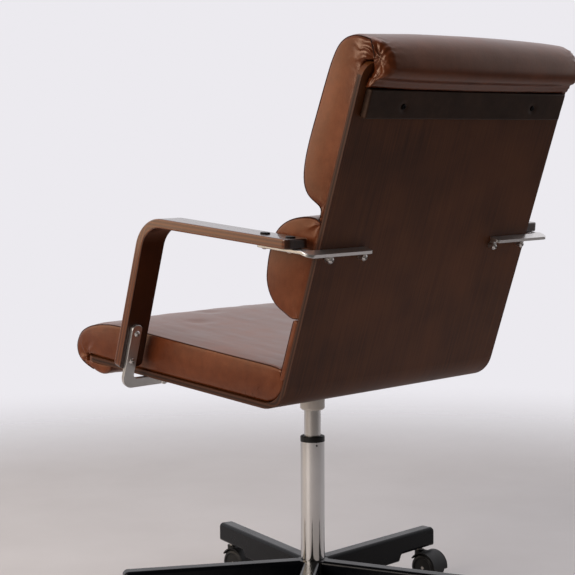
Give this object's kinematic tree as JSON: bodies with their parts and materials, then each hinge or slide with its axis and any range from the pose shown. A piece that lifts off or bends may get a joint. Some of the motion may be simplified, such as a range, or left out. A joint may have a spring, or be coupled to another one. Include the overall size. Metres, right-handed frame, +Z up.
{
  "type": "swivel office chair",
  "caption": "Swivel office chair with a bent plywood shell, padded leather seat and back, strap armrests, a gas lift and a star base on twin-wheel castors.",
  "frame": {"origin": "on the floor, on the axis of the column", "axes": "+Z up along the column, -Y the way the sitter faces, +X to the sitter's left"},
  "size_m": [0.6283, 0.6933, 0.9588],
  "materials": {
    "leather": "satin",
    "shell_plywood": "satin",
    "arm_plywood": "gloss",
    "chromed_steel": "polished",
    "satin_steel": "satin",
    "grey_enamel": "satin",
    "black_enamel": "gloss",
    "blackened_steel": "satin",
    "black_plastic": "matte"
  },
  "bodies": {
    "base": {"hub": "black_enamel", "leg_1": "black_enamel", "leg_2": "black_enamel", "leg_3": "black_enamel", "leg_4": "black_enamel", "leg_5": "black_enamel", "stem_sleeves": "black_enamel", "outer_tube": "chromed_steel", "guide_bush": "black_plastic", "bush_pin": "blackened_steel", "thrust_bearing": "satin_steel"},
    "rod": {"piston_rod": "satin_steel", "piston": "satin_steel", "rod_clip": "satin_steel"},
    "seat": {"shell": "shell_plywood", "seat_pad": "leather", "waist_band": "leather", "lumbar_pad": "leather", "upper_back_pad": "leather", "top_batten": "leather", "front_batten": "leather", "batten_screws": "blackened_steel", "threaded_inserts": "satin_steel", "armrest_left": "arm_plywood", "armrest_right": "arm_plywood", "rear_bracket_left": "chromed_steel", "rear_bracket_right": "chromed_steel", "front_bracket_left": "chromed_steel", "front_bracket_right": "chromed_steel", "arm_caps": "blackened_steel", "bracket_screws": "chromed_steel", "seat_plate": "black_enamel", "seat_bolts": "satin_steel", "socket_channel": "black_enamel", "lift_socket": "grey_enamel", "lever_pivot": "satin_steel", "gas_cylinder": "satin_steel"},
    "lever": {"lever": "satin_steel", "lever_paddle": "black_plastic"},
    "release_pin": {"release_pin": "satin_steel"},
    "castor_1": {"castor_hood_1": "black_plastic", "castor_stem_1": "satin_steel"},
    "wheels_1": {"castor_wheels_1": "black_plastic", "castor_axle_1": "satin_steel"},
    "castor_2": {"castor_hood_2": "black_plastic", "castor_stem_2": "satin_steel"},
    "wheels_2": {"castor_wheels_2": "black_plastic", "castor_axle_2": "satin_steel"},
    "castor_3": {"castor_hood_3": "black_plastic", "castor_stem_3": "satin_steel"},
    "wheels_3": {"castor_wheels_3": "black_plastic", "castor_axle_3": "satin_steel"},
    "castor_4": {"castor_hood_4": "black_plastic", "castor_stem_4": "satin_steel"},
    "wheels_4": {"castor_wheels_4": "black_plastic", "castor_axle_4": "satin_steel"},
    "castor_5": {"castor_hood_5": "black_plastic", "castor_stem_5": "satin_steel"},
    "wheels_5": {"castor_wheels_5": "black_plastic", "castor_axle_5": "satin_steel"}
  },
  "joints": [
    {"name": "seat_swivel", "type": "hinge", "parent": "base", "child": "rod", "pos_m": [0, 0, 0.06], "axis": [0, 0, 1], "continuous": true},
    {"name": "seat_lift", "type": "slide", "parent": "rod", "child": "seat", "axis": [0, 0, 1], "range_m": [-0.04, 0.08]},
    {"name": "lever_pull", "type": "hinge", "parent": "seat", "child": "lever", "pos_m": [-0.04, 0, 0.398], "axis": [0, 1, 0], "range_deg": [0, 3.5], "stiffness_Nm_per_rad": 6, "springref_deg": -6.88},
    {"name": "pin_press", "type": "slide", "parent": "seat", "child": "release_pin", "axis": [0, 0, -1], "range_m": [0, 0.0025]},
    {"name": "castor_swivel_1", "type": "hinge", "parent": "base", "child": "castor_1", "pos_m": [0.23245, 0.18325, 0.06], "axis": [0, 0, 1], "continuous": true},
    {"name": "wheel_spin_1", "type": "hinge", "parent": "castor_1", "child": "wheels_1", "pos_m": [0.22864, 0.20288, 0.025], "axis": [-0.9816, -0.1908, 0], "continuous": true},
    {"name": "castor_swivel_2", "type": "hinge", "parent": "base", "child": "castor_2", "pos_m": [-0.10245, 0.2777, 0.06], "axis": [0, 0, 1], "continuous": true},
    {"name": "wheel_spin_2", "type": "hinge", "parent": "castor_2", "child": "wheels_2", "pos_m": [-0.09829, 0.29727, 0.025], "axis": [-0.9781, 0.2079, 0], "continuous": true},
    {"name": "castor_swivel_3", "type": "hinge", "parent": "base", "child": "castor_3", "pos_m": [-0.29577, -0.01162, 0.06], "axis": [0, 0, 1], "continuous": true},
    {"name": "wheel_spin_3", "type": "hinge", "parent": "castor_3", "child": "wheels_3", "pos_m": [-0.29717, 0.00833, 0.025], "axis": [-0.9976, -0.0698, 0], "continuous": true},
    {"name": "castor_swivel_4", "type": "hinge", "parent": "base", "child": "castor_4", "pos_m": [-0.08035, -0.28489, 0.06], "axis": [0, 0, 1], "continuous": true},
    {"name": "wheel_spin_4", "type": "hinge", "parent": "castor_4", "child": "wheels_4", "pos_m": [-0.08035, -0.26489, 0.025], "axis": [-1, 0, 0], "continuous": true},
    {"name": "castor_swivel_5", "type": "hinge", "parent": "base", "child": "castor_5", "pos_m": [0.24612, -0.16445, 0.06], "axis": [0, 0, 1], "continuous": true},
    {"name": "wheel_spin_5", "type": "hinge", "parent": "castor_5", "child": "wheels_5", "pos_m": [0.24855, -0.1446, 0.025], "axis": [-0.9925, 0.1219, 0], "continuous": true}
  ],
  "couplings": [
    {"joint": "pin_press", "follows": "lever_pull", "m_per_rad": 0.04}
  ]
}
